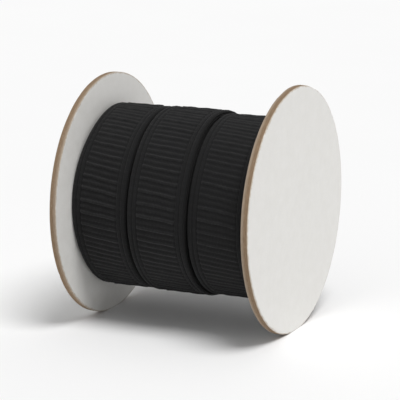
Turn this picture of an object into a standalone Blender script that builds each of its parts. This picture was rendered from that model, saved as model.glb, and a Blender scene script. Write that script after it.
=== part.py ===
"""A reel of elastic: one length of black ribbed elastic, wound in three lanes between two cardboard discs.

Metres, +Z up. The reel's axis lies along X and its front faces -Y. It stands on the rims of its two discs,
and the origin is on the floor under its middle.
"""
import math

import bmesh
import bpy
from mathutils import Matrix

# Driving dimensions, in metres and degrees.
FLANGE_DIAMETER = 0.1016        # the discs, four inches across
FLANGE_THICKNESS = 0.0030
FLANGE_EDGE_ROUND = 0.0004
FLANGE_EDGE_STEPS = 2           # faces across that rounding
FLANGE_SEGMENTS = 96
FOOT_WIDTH = 0.014              # flat spot at the bottom of each rim
INNER_WIDTH = 0.0806            # from disc to disc
CLEARANCE = 0.0003              # between the elastic and each disc

WOUND_RADIUS = 0.038            # to the selvedges of the outermost turns
LANE_EDGES = (0.0, 0.0250, 0.0513, 0.0776)    # from the left disc's inner face
LANE_RISES = (0.0, 0.0004, 0.0001)            # how proud each lane lies of WOUND_RADIUS
SHOULDER_DROP = 0.0024          # the earlier turns that show past the last lane lie this much lower
GROOVE_DEPTH = 0.0011           # between two lanes: the elastic's own thickness
EDGE_ROUND = 0.0007             # how far from a lane's edge the elastic turns down
SELVEDGE_WIDTH = 0.0043         # plain band along each edge of the elastic
RIB_RAMP = 0.0007               # from the selvedge to the full height of a rib

RIBS_PER_TURN = 96
POINTS_PER_RIB = 2              # one on the crest, one in the dip
RIB_RELIEF = 0.00045            # from dip to crest
LOW_RIB_DROP = 0.0002           # every second rib is this much lower
RIB_SLANTS = (8.0, 6.0, 7.0)    # degrees off the axis in each lane, lower towards +X at the front
RIB_SHIFTS = (-0.45, 0.0, 0.2)  # in rib pitches, so that the ribs of two lanes don't line up
EDGE_STRAYS = (0.0, 0.0001, 0.00035, 0.0003)  # how far the lanes' edges stray from true circles
STRAYS_PER_TURN = 3

ELASTIC_BLACK = (0.016, 0.016, 0.017, 1.0)
ELASTIC_ROUGHNESS = 0.85
BOARD_WHITE = (0.78, 0.78, 0.76, 1.0)
BOARD_ROUGHNESS = 0.6

# Worked out from them.
FLANGE_RADIUS = FLANGE_DIAMETER / 2
AXIS_HEIGHT = math.sqrt(FLANGE_RADIUS ** 2 - (FOOT_WIDTH / 2) ** 2)
FLANGE_OFFSET = (INNER_WIDTH + FLANGE_THICKNESS) / 2
RIB_PITCH = 2 * math.pi / RIBS_PER_TURN       # in radians

# What the modelling steps use.
ALONG_X = Matrix.Rotation(math.radians(90), 4, "Y")    # turns a shape's Z axis onto X
SHARP_ANGLE = math.radians(40)                # an edge past this angle is a corner
TOLERANCE = 0.00001                           # points closer than this lie in one place


def clear_scene():
    """Removes whatever the file holds already."""
    for obj in list(bpy.data.objects):
        bpy.data.objects.remove(obj, do_unlink=True)


def new_collection(name):
    """Makes a collection of this name, linked to the scene."""
    collection = bpy.data.collections.new(name)
    bpy.context.scene.collection.children.link(collection)
    return collection


def new_object(name, mesh, collection, location):
    """Makes an object of the mesh, in the collection, at the location."""
    obj = bpy.data.objects.new(name, mesh)
    obj.location = location
    collection.objects.link(obj)
    return obj


def mesh_from(name, shape):
    """Turns a bmesh into a mesh and frees it."""
    mesh = bpy.data.meshes.new(name)
    shape.to_mesh(mesh)
    shape.free()
    return mesh


def plain_material(name, colour, roughness):
    """Makes a Principled material of one colour."""
    material = bpy.data.materials.new(name)
    material.use_nodes = True
    shader = material.node_tree.nodes["Principled BSDF"]
    shader.inputs["Base Color"].default_value = colour
    shader.inputs["Roughness"].default_value = roughness
    shader.inputs["Metallic"].default_value = 0.0
    material.diffuse_color = colour
    return material


def lane_profile(lane):
    """Returns (x, radius) across the top of one lane, from left to right."""
    left, right = LANE_EDGES[lane], LANE_EDGES[lane + 1]
    top = WOUND_RADIUS + LANE_RISES[lane]
    insets = (EDGE_ROUND, SELVEDGE_WIDTH, SELVEDGE_WIDTH + RIB_RAMP)
    return ([(left + inset, top) for inset in insets]
            + [(right - inset, top) for inset in reversed(insets)])


def wound_profile():
    """Returns (x, radius) of the whole winding from left to right, starting and ending on the axis."""
    left_end, right_end = CLEARANCE, INNER_WIDTH - CLEARANCE
    groove = WOUND_RADIUS - GROOVE_DEPTH
    shoulder = WOUND_RADIUS - SHOULDER_DROP
    profile = [(left_end, 0.0), (left_end, groove)]
    for lane in range(len(LANE_RISES)):
        if lane > 0:
            profile.append((LANE_EDGES[lane], groove))
        profile += lane_profile(lane)
    profile += [(LANE_EDGES[-1], shoulder), (right_end, shoulder), (right_end, 0.0)]
    return profile


def turned_mesh(name, profile, steps):
    """Turns (x, radius) points about the X axis into a closed mesh."""
    outline = bmesh.new()
    # The profile is turned about Z first: it stands at +X and runs from top to bottom.
    points = [outline.verts.new((radius, 0.0, x)) for x, radius in reversed(profile)]
    for upper, lower in zip(points, points[1:]):
        outline.edges.new((upper, lower))
    turning = new_object(name + "_outline", mesh_from(name + "_outline", outline),
                         bpy.context.scene.collection, (0.0, 0.0, 0.0))
    screw = turning.modifiers.new("turn", "SCREW")
    screw.axis = "Z"
    screw.steps = steps
    screw.render_steps = steps
    screw.use_merge_vertices = True
    screw.merge_threshold = TOLERANCE
    turned = bpy.data.meshes.new_from_object(turning.evaluated_get(bpy.context.evaluated_depsgraph_get()))
    turned.name = name
    bpy.data.objects.remove(turning, do_unlink=True)
    turned.transform(ALONG_X)
    return turned


def rib_turn(lane, x):
    """How far round the reel a rib's shift and slant carry it at this place in its lane, in radians."""
    middle = (LANE_EDGES[lane] + LANE_EDGES[lane + 1]) / 2
    drop = math.tan(math.radians(RIB_SLANTS[lane])) * (x - middle) / WOUND_RADIUS
    return RIB_SHIFTS[lane] * RIB_PITCH - drop


def edge_stray(edge, angle):
    """How far one edge of a lane strays along X at this angle."""
    return EDGE_STRAYS[edge] * math.sin(STRAYS_PER_TURN * angle)


def raise_ribs(mesh):
    """Raises the slanted ribs in the turned mesh's points, and lets the lanes' edges stray."""
    for point in mesh.vertices:
        x, y, z = point.co
        radius = math.hypot(y, z)
        if radius < TOLERANCE or x > LANE_EDGES[-1] + TOLERANCE:
            continue    # on the axis, or on the shoulder past the last lane
        angle = math.atan2(z, -y)    # 0 at the front, growing towards the top
        lane = sum(x > edge for edge in LANE_EDGES[1:-1])
        left, right = LANE_EDGES[lane], LANE_EDGES[lane + 1]
        inset = min(x - left, right - x)
        height = min(1.0, max(0.0, (inset - SELVEDGE_WIDTH) / RIB_RAMP))
        crest = (1 + math.cos(RIBS_PER_TURN * angle)) / 2
        low = (1 - math.cos(RIBS_PER_TURN / 2 * angle)) / 2    # 1 on every second crest
        radius += height * (RIB_RELIEF * (crest - 0.5) - LOW_RIB_DROP * crest * low)
        angle += rib_turn(lane, x) * min(1.0, inset / SELVEDGE_WIDTH)
        share = (x - left) / (right - left)
        x += (1 - share) * edge_stray(lane, angle) + share * edge_stray(lane + 1, angle)
        point.co = (x, -radius * math.cos(angle), radius * math.sin(angle))


def build_elastic(collection, material):
    """The wound elastic: three ribbed lanes side by side, and the lower turns at the right disc."""
    mesh = turned_mesh("wound_elastic", wound_profile(), RIBS_PER_TURN * POINTS_PER_RIB)
    raise_ribs(mesh)
    mesh.materials.append(material)
    mesh.shade_smooth()
    mesh.set_sharp_from_angle(angle=SHARP_ANGLE)
    new_object("wound_elastic", mesh, collection, (-INNER_WIDTH / 2, 0.0, AXIS_HEIGHT))


def build_foot_cutter(collection):
    """A block under the floor, larger than the reel, which cuts the flat spots of the rims."""
    shape = bmesh.new()
    size = 2 * FLANGE_DIAMETER
    bmesh.ops.create_cube(shape, size=size)
    cutter = new_object("foot_cutter", mesh_from("foot_cutter", shape), collection, (0.0, 0.0, -size / 2))
    cutter.hide_render = True
    cutter.display_type = "WIRE"
    return cutter


def build_flange(name, side, collection, material, foot_cutter):
    """One cardboard disc: side is -1 for the left one and 1 for the right one."""
    shape = bmesh.new()
    bmesh.ops.create_cone(shape, cap_ends=True, segments=FLANGE_SEGMENTS, radius1=FLANGE_RADIUS,
                          radius2=FLANGE_RADIUS, depth=FLANGE_THICKNESS, matrix=ALONG_X)
    mesh = mesh_from(name, shape)
    mesh.materials.append(material)
    mesh.shade_smooth()
    mesh.set_sharp_from_angle(angle=SHARP_ANGLE)
    flange = new_object(name, mesh, collection, (side * FLANGE_OFFSET, 0.0, AXIS_HEIGHT))
    foot = flange.modifiers.new("foot", "BOOLEAN")
    foot.operation = "DIFFERENCE"
    foot.solver = "EXACT"
    foot.object = foot_cutter
    edge = flange.modifiers.new("edge", "BEVEL")
    edge.width = FLANGE_EDGE_ROUND
    edge.segments = FLANGE_EDGE_STEPS
    edge.limit_method = "ANGLE"
    edge.angle_limit = SHARP_ANGLE


def main():
    """Builds the elastic and its two discs."""
    clear_scene()
    reel = new_collection("reel_of_elastic")
    cutters = new_collection("cutters")
    elastic_black = plain_material("elastic_black", ELASTIC_BLACK, ELASTIC_ROUGHNESS)
    board_white = plain_material("board_white", BOARD_WHITE, BOARD_ROUGHNESS)
    foot_cutter = build_foot_cutter(cutters)
    build_elastic(reel, elastic_black)
    build_flange("flange_left", -1, reel, board_white, foot_cutter)
    build_flange("flange_right", 1, reel, board_white, foot_cutter)


main()
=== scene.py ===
"""The looks of the reel of elastic: black ribbed elastic wound in three lanes between two cardboard discs."""
import math

import bpy
import numpy as np
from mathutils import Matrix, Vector


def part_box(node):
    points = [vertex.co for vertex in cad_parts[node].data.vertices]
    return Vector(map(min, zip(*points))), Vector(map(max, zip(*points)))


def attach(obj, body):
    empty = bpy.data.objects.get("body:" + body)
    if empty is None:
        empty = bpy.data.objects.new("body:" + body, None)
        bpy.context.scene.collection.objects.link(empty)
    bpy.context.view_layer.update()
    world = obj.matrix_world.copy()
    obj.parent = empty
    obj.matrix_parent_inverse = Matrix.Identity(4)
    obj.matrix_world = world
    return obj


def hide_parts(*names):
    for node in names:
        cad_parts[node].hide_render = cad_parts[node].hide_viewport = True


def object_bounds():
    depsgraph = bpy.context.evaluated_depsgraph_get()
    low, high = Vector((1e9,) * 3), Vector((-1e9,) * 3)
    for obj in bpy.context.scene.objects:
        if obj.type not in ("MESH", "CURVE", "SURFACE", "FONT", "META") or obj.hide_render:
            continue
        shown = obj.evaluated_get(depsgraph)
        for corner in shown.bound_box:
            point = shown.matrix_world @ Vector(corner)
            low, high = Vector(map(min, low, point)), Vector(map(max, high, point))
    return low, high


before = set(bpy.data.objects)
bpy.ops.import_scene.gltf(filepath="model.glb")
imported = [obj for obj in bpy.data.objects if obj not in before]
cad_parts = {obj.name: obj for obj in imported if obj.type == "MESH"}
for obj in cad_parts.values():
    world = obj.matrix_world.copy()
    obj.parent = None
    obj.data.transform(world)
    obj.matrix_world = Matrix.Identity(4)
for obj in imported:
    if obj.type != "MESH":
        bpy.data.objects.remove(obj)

CAD_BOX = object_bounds()
MM = 0.001

# What the frame says: the reel's axis lies along X, at AXIS_HEIGHT over the floor.
LEFT_LOW, LEFT_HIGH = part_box("flange_left")
RIGHT_LOW, RIGHT_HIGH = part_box("flange_right")
FLANGE_RADIUS = (LEFT_HIGH.y - LEFT_LOW.y) / 2
FLANGE_THICKNESS = RIGHT_HIGH.x - RIGHT_LOW.x
AXIS_HEIGHT = LEFT_HIGH.z - FLANGE_RADIUS
INNER_LEFT = LEFT_HIGH.x
INNER_WIDTH = RIGHT_LOW.x - INNER_LEFT

# The winding, in metres, with X counted from the left disc's inner face.
WOUND_RADIUS = 38.0 * MM
HUB_RADIUS = 13.0 * MM          # where the innermost turn starts, from the elastic's length
LANE_NAMES = ("left", "middle", "right")
LANE_EDGES = (0.1 * MM, 25.0 * MM, 51.3 * MM, 77.6 * MM)
LANE_RISES = (0.0, 0.4 * MM, 0.1 * MM)    # how proud each lane lies of WOUND_RADIUS
LANE_GAP = 1.15 * MM            # between the selvedges of two lanes
DISC_CLEARANCE = 0.15 * MM      # where the elastic is pressed against the left disc
TAPE_THICKNESS = 1.1 * MM
SIDE_TURNS = 2                  # turns whose edges are modelled at a lane's sides
SIDE_ARC = (60, 30, 0, -30, -60, -90)     # degrees down the half-round edge of one turn
EDGE_STRAYS = (0.6 * MM, 0.1 * MM, 0.35 * MM, 0.3 * MM)    # how far each edge strays from a true circle
STRAYS_PER_TURN = 3
STRAY_STARTS = (math.radians(-105), 0.0, 0.0, 0.0)    # the left edge touches its disc at the front
EDGE_DROOPS = ((0.45 * MM, 0.55 * MM), (0.12 * MM, 0.15 * MM), (0.05 * MM, 0.20 * MM))    # a lane's two edges
DROOP_WIDTH = 1.7 * MM
# How a lane's radius sways: size, waves a turn, waves across, and how far on the waves are from lane to lane.
SWAYS = ((0.10 * MM, 2, 0, 1.0), (0.06 * MM, 5, 0, 2.3), (0.05 * MM, 4, 1, 1.0))
TURN_SLIP = 0.10 * MM           # how far the turn under the top one lies out of line
SLIPS_PER_TURN = 4

# The crosswise ribs.
RIBS = 96
POINTS_PER_RIB = 10
RIB_RELIEF = 0.45 * MM
RIB_SHARPNESS = 1.6             # above 1, crests are narrower than the dips between them
RIB_SLANTS = (8.0, 6.0, 7.0)    # degrees off the axis in each lane, lower towards +X at the front
RIB_SHIFTS = (-0.45, 0.0, 0.2)  # in rib pitches
RIB_STRENGTHS = (1.22, 1.12, 0.84)    # how clearly each lane's ribs stand out
RIB_VARIETY = (0.82, 1.22)      # the faintest and the clearest rib, beside the lane's strength
LOW_RIB_SHARE = 0.50            # every second rib stands out this much of the others' height
RIB_SWELL = 0.16                # how much a rib's height varies along it
RIB_SWELL_LENGTH = 7 * MM
RIB_WOBBLES = ((0.035, 7, 300), (0.02, 23, -500))    # rib pitches, waves a turn, radians a metre across
RIB_SEED = 40
RIB_START = (-0.3 * MM, 0.4 * MM)     # about the second groove, where the ribs rise from the plain edge
SELVEDGE_RIB_SHARE = 0.15       # how much of the ribs goes on over the selvedges

# The selvedges.
SELVEDGE_LINES = (2.2 * MM, 4.1 * MM)    # two fine lengthwise grooves in from each edge
SELVEDGE_LINE_DEPTH = 0.26 * MM
SELVEDGE_LINE_WIDTH = 0.26 * MM
SELVEDGE_CORD = 0.14 * MM       # how far the corded edge outside the first line stands out
LINE_REACH = 1.6 * SELVEDGE_LINE_WIDTH    # how far the points about a line lie close together
LINE_POINTS = 5
RIB_FACE_POINTS = 28            # across the ribs, from selvedge to selvedge

# The last turn's cut end, high on the back of the right lane.
END_ANGLE = math.radians(152)
END_LIFT = 0.35 * MM
END_LIFT_LENGTH = 8 * MM
END_SKEW = math.radians(2.5)    # off a square cut

# The earlier turns that reach the right disc.
SHOULDER_DROP = 2.3 * MM        # below WOUND_RADIUS
SHOULDER_START = 0.1 * MM       # past the last lane's edge
SHOULDER_CLEARANCE = 0.35 * MM  # from the right disc
SHOULDER_POINTS = 9
SHOULDER_RELIEF = 0.03 * MM
SHOULDER_SWAY = 0.15 * MM
SHOULDER_RIB_SHARE = 0.12
# painted shade: the whole shoulder's yarn colour is darkened, low beside the right disc
SHOULDER_LIT = 0.6

# Painted shade: how much of the yarn's colour shows, darker towards UNLIT_COLOUR at a lane's edge, in the
# fine grooves and down the gap between lanes, where little light gets in.
EDGE_LIT = 0.65
EDGE_LIT_INSETS = (0.3 * MM, 1.0 * MM)    # from EDGE_LIT to fully lit
LINE_SHADE = 0.4
LIT_DEPTH = 0.42 * TAPE_THICKNESS         # from here down, the gap between two lanes is painted in full shade

# The elastic's threads, which the material draws.
THREAD_PITCH = 0.62 * MM        # from one lengthwise thread to the next
THREAD_STRAY = 0.07             # how far a thread rises early or late over a rib, in rib pitches
PICKS_PER_RIB = 3               # fine crosswise picks
THREAD_HEIGHTS = (0.09 * MM, 0.18 * MM)   # between the ribs and on them
PICK_HEIGHT = 0.08 * MM
FIBRE_HEIGHT = 0.025 * MM
YARN_COLOURS = ((0.0026, 0.0026, 0.0028, 1.0), (0.0100, 0.0100, 0.0106, 1.0))    # darkest and lightest: painted shade in the dips and between threads, painted highlight on rib crests and thread tops
# the near-black that the painted shade mixes in
UNLIT_COLOUR = (0.0010, 0.0010, 0.0010, 1.0)
ELASTIC_SHARP_ANGLE = math.radians(55)

# The cardboard discs.
DISC_STEPS = 240
DISC_RINGS = [ring * MM for ring in (8.0, 16.0, 24.0, 31.0, 36.0, 39.0, 42.0, 45.0, 47.5, 49.3)]
# Rings across the rim: how far each lies in from the full radius, and its depth from the inner face.
INNER_EDGE = ((0.25 * MM, 0.0), (0.12 * MM, 0.03 * MM), (0.04 * MM, 0.12 * MM))
# The same, with the depth as a share of the board's thickness.
PLIES = ((0.0, 0.10), (0.03 * MM, 0.22), (0.10 * MM, 0.32), (0.03 * MM, 0.42),
         (0.01 * MM, 0.54), (0.10 * MM, 0.64), (0.04 * MM, 0.74), (0.06 * MM, 0.82))
# The same, with the depth from the outer face.
OUTER_EDGE = ((0.14 * MM, 0.36 * MM), (0.28 * MM, 0.16 * MM), (0.5 * MM, 0.04 * MM), (0.8 * MM, 0.0))
ROUGH_WIDTHS = (0.6 * MM, 0.1 * MM)       # in from the full radius, where it gets rough and is fully so
RAGGEDNESS = 0.02 * MM
DENTS = 5
DENT_ANGLES = (0.3, 5.9)        # radians
DENT_SIZES = (0.10, 0.30)       # millimetres
DENT_WIDTHS = (0.02, 0.06)      # radians
DENT_SWELL = 0.4                # how far the board swells sideways at a dent, as a share of its size
FLARE = 0.25 * MM               # how far the rim bends away from the elastic
FLARE_SWAY = 0.12 * MM
FLARE_START = WOUND_RADIUS + 2 * MM
BOARD_SHARP_ANGLE = math.radians(50)
BOARD_WHITES = ((0.740, 0.728, 0.698, 1.0), (0.800, 0.790, 0.766, 1.0))
WORN_BOARD = (0.47, 0.40, 0.32, 1.0)
WEAR_WIDTHS = (1.4 * MM, 0.1 * MM)        # in from the edge, where wear starts and where it is full
PLY_CHANGE = (0.6 * MM, 1.6 * MM)         # from the inner face, where the rim turns from tan to brown
RIM_TANS = ((0.21, 0.155, 0.110, 1.0), (0.48, 0.385, 0.295, 1.0))
RIM_BROWNS = ((0.120, 0.080, 0.048, 1.0), (0.375, 0.262, 0.168, 1.0))
RIM_SPECK = (0.55, 0.50, 0.43, 1.0)
FIBRE_STRETCH = 0.16            # of the arc round the rim, so that torn fibres run long that way

# The studio.
AZIMUTH = math.radians(24.7)    # the camera looks at the reel from the right of its front
ELEVATION = math.radians(12.5)
DISTANCE = 0.85
FRAME_SHARE = 0.73              # of the picture's width that the reel takes up
SENSOR = 36.0
KEY_DIRECTION = (0.36, -0.22, 0.90)    # from the reel to the light
KEY_SPREAD = math.radians(28)
KEY_STRENGTH = 2.1
SKY_LIGHT = 0.45                # what the surroundings shed on the reel
SKY_SEEN = 0.95                 # how bright the camera sees them: as bright as the floor
FLOOR_HALF = 6.0
FLOOR_GREYS = ((0.90, 0.90, 0.90, 1.0), (0.92, 0.92, 0.92, 1.0))

ANGLES = np.linspace(0, 2 * math.pi, RIBS * POINTS_PER_RIB, endpoint=False)[:, None]


# ---------------------------------------------------------------- meshes

def mesh_object(name, points, faces, location=(0.0, 0.0, 0.0)):
    """Makes an object of these points and faces, and links it to the scene."""
    mesh = bpy.data.meshes.new(name)
    mesh.from_pydata(points.tolist(), [], faces)
    mesh.update()
    obj = bpy.data.objects.new(name, mesh)
    obj.location = location
    bpy.context.scene.collection.objects.link(obj)
    return obj


def point_values(obj, columns, **values):
    """Keeps numbers for each point, for the material to read, with 0 in columns that a grid doesn't reach."""
    for name, grid in values.items():
        filled = np.zeros((len(ANGLES), columns), np.float32)
        filled[:, :grid.shape[1]] = grid
        layer = obj.data.attributes.new(name, "FLOAT", "POINT")
        layer.data.foreach_set("value", filled.ravel())


def ring_faces(rows, columns):
    """The quads of a grid of rows round the axis, closed both ways."""
    row, column = np.meshgrid(np.arange(rows), np.arange(columns), indexing="ij")
    next_row, next_column = (row + 1) % rows, (column + 1) % columns
    corners = (row * columns + column, row * columns + next_column,
               next_row * columns + next_column, next_row * columns + column)
    return np.stack(corners, axis=-1).reshape(-1, 4).tolist()


def round_the_axis(x, radius, angle):
    """Points at these places along the axis, 0 radians at the front and growing towards the top."""
    x, radius, angle = np.broadcast_arrays(x, radius, angle)
    return np.stack((x, -radius * np.cos(angle), radius * np.sin(angle)), axis=-1).reshape(-1, 3)


def smooth_step(values, low, high):
    """0 below low, 1 above high, and a soft ramp between."""
    share = np.clip((values - low) / (high - low), 0, 1)
    return share * share * (3 - 2 * share)


# ---------------------------------------------------------------- elastic

def edge_stray(edge):
    """How far one edge of a lane strays along X, all round the reel."""
    return EDGE_STRAYS[edge] * np.sin(STRAYS_PER_TURN * ANGLES + STRAY_STARTS[edge])


def edge_droop(lane, across, width):
    """How far the tape's face falls away towards its two edges."""
    left, right = EDGE_DROOPS[lane]
    return (left * (1 - smooth_step(across, 0.0, DROOP_WIDTH))
            + right * (1 - smooth_step(width - across, 0.0, DROOP_WIDTH)))


def sway(lane, across, width):
    """How far a lane's turns lie above or below a true circle."""
    return sum(size * np.sin(waves * ANGLES + 2 * math.pi * crosswise * across / width + step * lane)
               for size, waves, crosswise, step in SWAYS)


def line_share(inset):
    """1 down in each fine lengthwise groove, and 0 away from it."""
    return sum(np.exp(-((inset - line) / SELVEDGE_LINE_WIDTH) ** 2) for line in SELVEDGE_LINES)


def tape_relief(inset):
    """The lengthwise relief of the tape's face: a corded edge and two fine grooves."""
    cord = SELVEDGE_CORD * np.sin(math.pi * np.clip(inset / SELVEDGE_LINES[0], 0, 1))
    return cord - SELVEDGE_LINE_DEPTH * line_share(inset)


def rib_lag(lane, across):
    """How far the ribs lie behind an even count, in rib pitches: shifted, slanted and a little wavy."""
    middle = (LANE_EDGES[lane + 1] - LANE_EDGES[lane]) / 2
    drop = math.tan(math.radians(RIB_SLANTS[lane])) * (across - middle) / WOUND_RADIUS
    wobble = sum(size * np.sin(waves * ANGLES + slope * across) for size, waves, slope in RIB_WOBBLES)
    return RIB_SHIFTS[lane] - RIBS * drop / (2 * math.pi) - wobble


def rib_weight(inset):
    """How clearly the ribs show: fully on the middle of the tape, and faintly on its selvedges."""
    start, end = (SELVEDGE_LINES[1] + offset for offset in RIB_START)
    return SELVEDGE_RIB_SHARE + (1 - SELVEDGE_RIB_SHARE) * smooth_step(inset, start, end)


def rib_pattern(lane, across):
    """The crosswise ribs: 0 in a dip to 1 on a crest, and how strongly the rib at each place stands out."""
    rng = np.random.default_rng(RIB_SEED + lane)
    strengths = RIB_STRENGTHS[lane] * rng.uniform(*RIB_VARIETY, RIBS)
    strengths[1::2] *= LOW_RIB_SHARE
    starts = rng.uniform(0, 2 * math.pi, RIBS)
    phase = RIBS * ANGLES / (2 * math.pi) - rib_lag(lane, across)
    crest = (0.5 + 0.5 * np.cos(2 * math.pi * phase)) ** RIB_SHARPNESS
    number = np.round(phase).astype(int) % RIBS
    swell = 1 + RIB_SWELL * np.sin(2 * math.pi * across / RIB_SWELL_LENGTH + starts[number])
    return crest, strengths[number] * swell


def across_samples(width):
    """Places across the tape's face: close together at the selvedges' lines, wider apart on the ribs."""
    first, second = SELVEDGE_LINES
    near = np.concatenate((np.linspace(TAPE_THICKNESS / 2, first - LINE_REACH, LINE_POINTS)[:-1],
                           np.linspace(first - LINE_REACH, first + LINE_REACH, LINE_POINTS),
                           np.linspace(first + LINE_REACH, second - LINE_REACH, LINE_POINTS)[1:-1],
                           np.linspace(second - LINE_REACH, second + LINE_REACH, LINE_POINTS)))
    ribs = np.linspace(near[-1], width - near[-1], RIB_FACE_POINTS)[1:-1]
    return np.concatenate((near, ribs, width - near[::-1]))


def side_arcs():
    """(inset, depth) down a stack of turns at a lane's side: a half-round edge for each turn."""
    half = TAPE_THICKNESS / 2
    return [(half * (1 - math.cos(math.radians(slope))),
             turn * TAPE_THICKNESS + half * (1 - math.sin(math.radians(slope))))
            for turn in range(SIDE_TURNS) for slope in SIDE_ARC]


def lit_share(depth, inset):
    """Painted shade: 1 on the face, less at its very edge and in the fine grooves, and 0 down in the gap
    between two lanes.
    """
    at_edge = EDGE_LIT + (1 - EDGE_LIT) * smooth_step(inset, *EDGE_LIT_INSETS)
    return at_edge * (1 - LINE_SHADE * line_share(inset)) * (1 - smooth_step(depth, 0.0, LIT_DEPTH))


def last_turn(across):
    """How much lower a lane lies from its last turn's cut end on, and how far that end lifts."""
    cut = END_ANGLE + math.tan(END_SKEW) * across / WOUND_RADIUS
    past = np.mod(ANGLES - cut, 2 * math.pi)
    lift = END_LIFT * (1 - smooth_step(past * WOUND_RADIUS, 0.0, END_LIFT_LENGTH))
    return lift - TAPE_THICKNESS * past / (2 * math.pi)


def build_lane(lane, material):
    """One lane of the winding: a ring whose face has the ribs, the selvedges and the edges of its turns."""
    width = LANE_EDGES[lane + 1] - LANE_EDGES[lane] - LANE_GAP
    face = across_samples(width)
    arcs = side_arcs()
    across = np.array([[inset for inset, _ in reversed(arcs)] + list(face)
                       + [width - inset for inset, _ in arcs]])
    depth = np.array([[down for _, down in reversed(arcs)] + [0.0] * len(face) + [down for _, down in arcs]])
    on_face = (depth == 0.0).astype(float)
    inset = np.minimum(across, width - across)

    crest, strength = rib_pattern(lane, across)
    weight = rib_weight(inset) * on_face
    radius = WOUND_RADIUS + LANE_RISES[lane] - depth - edge_droop(lane, across, width)
    radius = radius + sway(lane, across, width) + on_face * tape_relief(inset)
    radius = radius + RIB_RELIEF * (crest * strength - 0.5) * weight
    if lane == len(LANE_NAMES) - 1:
        radius = radius + last_turn(across)

    share = across / width
    slip = TURN_SLIP * np.sin(SLIPS_PER_TURN * ANGLES + 3 * lane) * (depth > TAPE_THICKNESS)
    x = LANE_EDGES[lane] + LANE_GAP / 2 + across + slip * np.where(share < 0.5, 1, -1)
    x = x + (1 - share) * edge_stray(lane) + share * edge_stray(lane + 1)
    x = np.maximum(x, DISC_CLEARANCE)

    bottom_radius = np.full((len(ANGLES), 2), HUB_RADIUS)
    bottom_x = np.tile((LANE_EDGES[lane + 1], LANE_EDGES[lane]), (len(ANGLES), 1))
    radius = np.concatenate((radius, bottom_radius), axis=1)
    x = np.concatenate((x, bottom_x), axis=1)
    ring = mesh_object("elastic_lane_" + LANE_NAMES[lane], round_the_axis(x, radius, ANGLES),
                       ring_faces(*x.shape), (INNER_LEFT, 0.0, AXIS_HEIGHT))
    point_values(ring, x.shape[1], across=across, lag=rib_lag(lane, across), weight=weight * strength,
                 lit=lit_share(depth, inset))
    finish_elastic(ring, material)


def build_shoulder(material):
    """The earlier turns that reach the right disc, lower than the lanes: plain selvedge with a round edge."""
    left = LANE_EDGES[-1] + SHOULDER_START
    width = INNER_WIDTH - SHOULDER_CLEARANCE - left
    top = WOUND_RADIUS - SHOULDER_DROP
    hub = top - HUB_RADIUS
    arcs = side_arcs()
    face = np.linspace(0.0, width - TAPE_THICKNESS / 2, SHOULDER_POINTS)
    across = np.array([[0.0] + list(face) + [width - inset for inset, _ in arcs] + [width]])
    depth = np.array([[hub] + [0.0] * len(face) + [down for _, down in arcs] + [hub]])
    on_face = (depth == 0.0).astype(float)
    radius = (top - depth + on_face * (tape_relief(width - across) + SHOULDER_RELIEF * np.cos(RIBS * ANGLES))
              + SHOULDER_SWAY * np.sin(2 * ANGLES + 1))
    x = left + across + 0.0 * ANGLES
    x[:, :2] += edge_stray(len(LANE_EDGES) - 1)
    shoulder = mesh_object("elastic_shoulder", round_the_axis(x, radius, ANGLES), ring_faces(*x.shape),
                           (INNER_LEFT, 0.0, AXIS_HEIGHT))
    # painted shade: the whole shoulder is darker by SHOULDER_LIT
    point_values(shoulder, x.shape[1], across=across, lag=0.0 * across, weight=SHOULDER_RIB_SHARE * on_face,
                 lit=SHOULDER_LIT * lit_share(depth, width - across))
    finish_elastic(shoulder, material)


def finish_elastic(piece, material):
    """Shades a piece of the winding, and lets it stand for the wound solid."""
    piece.data.materials.append(material)
    piece.data.shade_smooth()
    piece.data.set_sharp_from_angle(angle=ELASTIC_SHARP_ANGLE)
    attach(piece, "root")
    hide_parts("wound_elastic")


# ---------------------------------------------------------------- cardboard discs

def disc_profile():
    """(radius, depth) of the inner face, the plies and the outer face. Depth counts from the inner face.

    The knife came from the outer side: it rolled that edge over, and left the inner edge nearly sharp.
    Between them the plies of the board stand out a little.
    """
    edge, thick = FLANGE_RADIUS, FLANGE_THICKNESS
    inner = [(ring, 0.0) for ring in DISC_RINGS] + [(edge - below, depth) for below, depth in INNER_EDGE]
    plies = [(edge - below, thick * share) for below, share in PLIES]
    outer = [(edge - below, thick - depth) for below, depth in OUTER_EDGE]
    outer += [(ring, thick) for ring in reversed(DISC_RINGS)]
    return inner, plies, outer


def disc_grid(profile, side, seed):
    """X and the points of a disc's grid: its profile turned round, with a ragged, dented and flared rim."""
    rng = np.random.default_rng(seed)
    radius = np.array([[place[0] for place in profile]])
    depth = np.array([[place[1] for place in profile]])
    angle = np.linspace(0, 2 * math.pi, DISC_STEPS, endpoint=False)[:, None]
    flared = smooth_step(radius, FLARE_START, FLANGE_RADIUS)
    on_rim = smooth_step(radius, *(FLANGE_RADIUS - width for width in ROUGH_WIDTHS))
    radius = radius + on_rim * rng.normal(0, RAGGEDNESS, (DISC_STEPS, 1))
    for at, size, wide in zip(rng.uniform(*DENT_ANGLES, DENTS), rng.uniform(*DENT_SIZES, DENTS),
                              rng.uniform(*DENT_WIDTHS, DENTS)):
        dent = on_rim * np.exp(-((angle - at) / wide) ** 2) * size * MM
        radius = radius - dent
        depth = depth + DENT_SWELL * dent
    x = side * (INNER_WIDTH / 2 + depth + flared * (FLARE + FLARE_SWAY * np.sin(2 * angle + seed)))
    points = round_the_axis(x, radius, side * angle)
    # The board rests flat on the floor, where its rim has been pressed.
    points[:, 2] = np.maximum(points[:, 2], -AXIS_HEIGHT)
    return x, points


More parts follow.
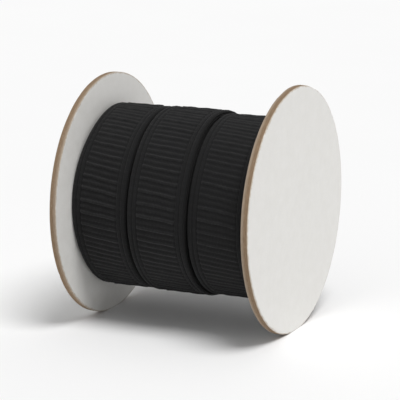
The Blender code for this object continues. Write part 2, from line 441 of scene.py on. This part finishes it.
def disc_faces(columns):
    """The quads of a disc's grid, and two fans of triangles to the centres, which are its last two points."""
    faces = [face for face in ring_faces(DISC_STEPS, columns) if face[0] % columns != columns - 1]
    centre = DISC_STEPS * columns
    for step in range(DISC_STEPS):
        start, after = step * columns, (step + 1) % DISC_STEPS * columns
        faces.append((centre, start, after))
        faces.append((centre + 1, after + columns - 1, start + columns - 1))
    return faces


def build_disc(name, side, node, face_material, rim_material, seed):
    """One cardboard disc: side is -1 for the left one and 1 for the right one."""
    inner, plies, outer = disc_profile()
    profile = inner + plies + outer
    columns = len(profile)
    x, points = disc_grid(profile, side, seed)
    centres = [(x[:, column].mean(), 0.0, 0.0) for column in (0, -1)]
    faces = disc_faces(columns)
    disc = mesh_object(name, np.concatenate((points, centres)), faces, (0.0, 0.0, AXIS_HEIGHT))
    disc.data.materials.append(face_material)
    disc.data.materials.append(rim_material)
    first_rim, last_rim = len(inner) - 1, len(inner) + len(plies) - 1
    rim = [len(face) == 4 and first_rim <= face[0] % columns <= last_rim for face in faces]
    disc.data.polygons.foreach_set("material_index", np.array(rim, np.int32))
    disc.data.shade_smooth()
    disc.data.set_sharp_from_angle(angle=BOARD_SHARP_ANGLE)
    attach(disc, "root")
    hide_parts(node)


# ---------------------------------------------------------------- materials

class Shader:
    """A material's nodes, added one at a time."""

    def __init__(self, name):
        self.material = bpy.data.materials.new(name)
        self.material.use_nodes = True
        self.tree = self.material.node_tree
        self.principled = self.tree.nodes["Principled BSDF"]

    def add(self, kind, settings=None, **inputs):
        """Adds a node. Settings are its own fields; inputs go to its sockets by name or number."""
        node = self.tree.nodes.new("ShaderNode" + kind)
        for key, value in (settings or {}).items():
            setattr(node, key, value)
        for key, value in inputs.items():
            self.feed(node, int(key[1:]) if key[0] == "_" else key.replace("_", " "), value)
        return node

    def feed(self, node, key, value):
        """Links a socket to a node's input, or sets the input's own value."""
        socket = node.inputs[key]
        if isinstance(value, bpy.types.NodeSocket):
            self.tree.links.new(value, socket)
        else:
            socket.default_value = value

    def fixed(self, **values):
        """Sets the shader's own sockets, the same all over the surface."""
        for key, value in values.items():
            self.principled.inputs[key.replace("_", " ")].default_value = value

    def math(self, operation, first, second=0.0, third=0.0):
        """Works out one operation on up to three numbers."""
        return self.add("Math", {"operation": operation}, _0=first, _1=second, _2=third).outputs[0]

    def noise(self, vector, scale, detail=3.0, roughness=0.55):
        """Noise from 0 to 1, with this many of its cells in a metre."""
        node = self.add("TexNoise", None, Vector=vector, Scale=scale, Detail=detail, Roughness=roughness)
        return node.outputs["Fac"]

    def ramp(self, factor, low, high, start, end):
        """Maps factor from low..high to start..end, clamped."""
        node = self.add("MapRange", None, Value=factor, From_Min=low, From_Max=high, To_Min=start, To_Max=end)
        return node.outputs[0]

    def mix(self, factor, first, second):
        """Mixes two colours."""
        return self.add("Mix", {"data_type": "RGBA"}, _0=factor, _6=first, _7=second).outputs[2]

    def bump(self, height):
        """Turns a height in metres into the shader's normal."""
        node = self.add("Bump", None, Height=height, Strength=1.0, Distance=1.0)
        self.feed(self.principled, "Normal", node.outputs[0])

    def place(self):
        """Object coordinates, as one vector and as x, y and z."""
        coords = self.add("TexCoord").outputs["Object"]
        return coords, *self.add("SeparateXYZ", None, _0=coords).outputs

    def angle(self, y, z):
        """The angle round the reel's axis, 0 at the front and growing towards the top."""
        return self.math("ARCTAN2", z, self.math("MULTIPLY", y, -1.0))


def elastic_material():
    """Black polyester threads round rubber: each thread lies over the ribs and is woven in between them.
    Painted highlight on crests and thread tops, painted shade in dips and between threads.
    """
    s = Shader("black_elastic")
    coords, _, y, z = s.place()
    across, lag, weight, lit = [s.add("Attribute", {"attribute_name": name}).outputs["Fac"]
                                for name in ("across", "lag", "weight", "lit")]
    thread = s.math("MULTIPLY", across, 1 / THREAD_PITCH)
    number = s.math("FLOOR", thread)
    stray = s.add("TexWhiteNoise", {"noise_dimensions": "1D"}, W=number).outputs["Value"]
    cord = s.math("ABSOLUTE", s.math("SINE", s.math("MULTIPLY", thread, math.pi)))
    cord = s.math("POWER", cord, 0.6)
    phase = s.math("SUBTRACT", s.math("MULTIPLY", s.angle(y, z), RIBS / (2 * math.pi)), lag)
    phase = s.math("ADD", phase, s.ramp(stray, 0.0, 1.0, -THREAD_STRAY, THREAD_STRAY))
    crest = s.math("MULTIPLY_ADD", s.math("COSINE", s.math("MULTIPLY", phase, 2 * math.pi)), 0.5, 0.5)
    over = s.math("MULTIPLY", s.ramp(crest, 0.3, 0.75, 0.0, 1.0), weight)
    turns = s.math("MULTIPLY_ADD", phase, PICKS_PER_RIB, s.math("MULTIPLY", number, 0.5))
    pick = s.math("MULTIPLY_ADD", s.math("SINE", s.math("MULTIPLY", turns, 2 * math.pi)), 0.5, 0.5)
    woven = s.math("MULTIPLY", pick, s.math("SUBTRACT", 1.0, over))
    fibre = s.noise(coords, 2600.0, 4.0, 0.7)
    cloud = s.noise(coords, 90.0, 2.0)

    # Painted highlight and shade: lighter where threads lie over the crests (more so on strong ribs) and on
    # each thread's top, darker in the dips and between threads; cloud and fibre add random tone.
    tone = s.math("MULTIPLY_ADD", over, 0.30, s.math("MULTIPLY", woven, 0.16))
    tone = s.math("MULTIPLY_ADD", cord, 0.38, tone)
    tone = s.math("ADD", tone, s.ramp(cloud, 0.3, 0.7, -0.1, 0.1))
    tone = s.math("ADD", tone, s.ramp(fibre, 0.3, 0.7, -0.06, 0.1))
    # painted shade: lit mixes the yarn's colour towards UNLIT_COLOUR at edges, in grooves and between lanes
    s.feed(s.principled, "Base Color", s.mix(lit, UNLIT_COLOUR, s.mix(tone, *YARN_COLOURS)))
    s.feed(s.principled, "Roughness", s.ramp(s.math("MULTIPLY_ADD", fibre, 0.4, over), 0.1, 1.2, 0.86, 0.62))
    s.fixed(Specular_IOR_Level=0.26, Sheen_Weight=0.05, Sheen_Roughness=0.45)
    height = s.math("MULTIPLY", cord, s.ramp(over, 0.0, 1.0, *THREAD_HEIGHTS))
    height = s.math("MULTIPLY_ADD", s.math("MULTIPLY", woven, cord), PICK_HEIGHT, height)
    s.bump(s.math("MULTIPLY_ADD", fibre, FIBRE_HEIGHT, height))
    return s.material


def board_face_material():
    """White coated board: a faint mottle, paper fibres, and a little grey wear at the edge."""
    s = Shader("white_board")
    coords, _, y, z = s.place()
    radius = s.math("SQRT", s.math("MULTIPLY_ADD", y, y, s.math("MULTIPLY", z, z)))
    mottle = s.noise(coords, 220.0, 4.0, 0.6)
    fibre = s.noise(coords, 1900.0, 3.0, 0.6)
    wear_noise = s.noise(coords, 420.0, 5.0, 0.7)
    start, full = (FLANGE_RADIUS - width for width in WEAR_WIDTHS)
    edge = s.ramp(radius, start, full, 0.0, 1.0)
    wear = s.ramp(s.math("MULTIPLY_ADD", edge, 0.75, wear_noise), 0.85, 1.25, 0.0, 1.0)
    tone = s.ramp(s.math("MULTIPLY_ADD", fibre, 0.4, mottle), 0.4, 1.0, 0.0, 1.0)
    s.feed(s.principled, "Base Color", s.mix(wear, s.mix(tone, *BOARD_WHITES), WORN_BOARD))
    s.feed(s.principled, "Roughness", s.ramp(mottle, 0.3, 0.7, 0.42, 0.56))
    s.fixed(Specular_IOR_Level=0.4)
    s.bump(s.math("MULTIPLY_ADD", mottle, 0.05 * MM, s.math("MULTIPLY", fibre, 0.008 * MM)))
    return s.material


def board_rim_material():
    """The cut rim: board in a tan and a brown ply, with torn fibres running round it."""
    s = Shader("cut_board")
    coords, along, y, z = s.place()
    depth = s.math("SUBTRACT", s.math("ABSOLUTE", along), INNER_WIDTH / 2)
    arc = s.math("MULTIPLY", s.angle(y, z), FLANGE_RADIUS)
    arc = s.math("MULTIPLY", arc, FIBRE_STRETCH)
    stretched = s.add("CombineXYZ", None, _0=along, _1=arc, _2=0.0).outputs[0]
    streak = s.noise(stretched, 2200.0, 4.0, 0.65)
    speck = s.noise(coords, 1500.0, 3.0, 0.7)
    body = s.mix(s.ramp(depth, *PLY_CHANGE, 0.0, 1.0), s.mix(streak, *RIM_TANS), s.mix(streak, *RIM_BROWNS))
    s.feed(s.principled, "Base Color", s.mix(s.ramp(speck, 0.62, 0.75, 0.0, 0.5), body, RIM_SPECK))
    s.fixed(Roughness=0.92, Specular_IOR_Level=0.25)
    s.bump(s.math("MULTIPLY_ADD", streak, 0.12 * MM, s.math("MULTIPLY", speck, 0.04 * MM)))
    return s.material


def floor_material():
    """Pale matt studio floor."""
    s = Shader("studio_floor")
    coords = s.add("TexCoord").outputs["Object"]
    s.feed(s.principled, "Base Color", s.mix(s.noise(coords, 6.0, 2.0), *FLOOR_GREYS))
    s.fixed(Roughness=0.9, Specular_IOR_Level=0.0)
    return s.material


# ---------------------------------------------------------------- studio

def build_floor():
    """A flat pale floor, wide enough for every view."""
    half = FLOOR_HALF
    points = np.array([(-half, -half, 0), (half, -half, 0), (half, half, 0), (-half, half, 0)])
    floor = mesh_object("floor", points, [(0, 1, 2, 3)])
    floor.data.materials.append(floor_material())


def build_world():
    """Soft white surroundings: bright to the camera, dimmer as light."""
    world = bpy.data.worlds.new("studio")
    bpy.context.scene.world = world
    world.use_nodes = True
    tree = world.node_tree
    background = tree.nodes["Background"]
    background.inputs["Color"].default_value = (1.0, 1.0, 1.0, 1.0)
    path = tree.nodes.new("ShaderNodeLightPath")
    strength = tree.nodes.new("ShaderNodeMapRange")
    strength.inputs["To Min"].default_value = SKY_LIGHT
    strength.inputs["To Max"].default_value = SKY_SEEN
    tree.links.new(path.outputs["Is Camera Ray"], strength.inputs["Value"])
    tree.links.new(strength.outputs[0], background.inputs["Strength"])


def build_key_light():
    """A broad soft light high on the right, the same all over the floor."""
    data = bpy.data.lights.new("key", "SUN")
    data.angle = KEY_SPREAD
    data.energy = KEY_STRENGTH
    light = bpy.data.objects.new("key", data)
    light.rotation_euler = (-Vector(KEY_DIRECTION)).to_track_quat("-Z", "Y").to_euler()
    bpy.context.scene.collection.objects.link(light)


def build_camera():
    """A camera with a lens that brings the reel close."""
    low, high = CAD_BOX
    centre = (low + high) / 2
    back = Vector((math.sin(AZIMUTH) * math.cos(ELEVATION), -math.cos(AZIMUTH) * math.cos(ELEVATION),
                   math.sin(ELEVATION)))
    size = high - low
    seen_width = size.x * math.cos(AZIMUTH) + size.y * math.sin(AZIMUTH)
    data = bpy.data.cameras.new("camera")
    data.sensor_width = SENSOR
    data.lens = SENSOR * DISTANCE * FRAME_SHARE / seen_width
    camera = bpy.data.objects.new("camera", data)
    camera.location = centre + back * DISTANCE
    camera.rotation_euler = (-back).to_track_quat("-Z", "Y").to_euler()
    bpy.context.scene.collection.objects.link(camera)
    bpy.context.scene.camera = camera


def build_studio():
    """The floor, the light and the camera."""
    bpy.context.scene.view_settings.view_transform = "Standard"
    build_floor()
    build_world()
    build_key_light()
    build_camera()


# ---------------------------------------------------------------- the reel

def build_reel():
    """The three lanes, the shoulder and the two discs."""
    elastic = elastic_material()
    for lane in range(len(LANE_NAMES)):
        build_lane(lane, elastic)
    build_shoulder(elastic)
    face, rim = board_face_material(), board_rim_material()
    build_disc("disc_left", -1, "flange_left", face, rim, 11)
    build_disc("disc_right", 1, "flange_right", face, rim, 23)


build_reel()
build_studio()
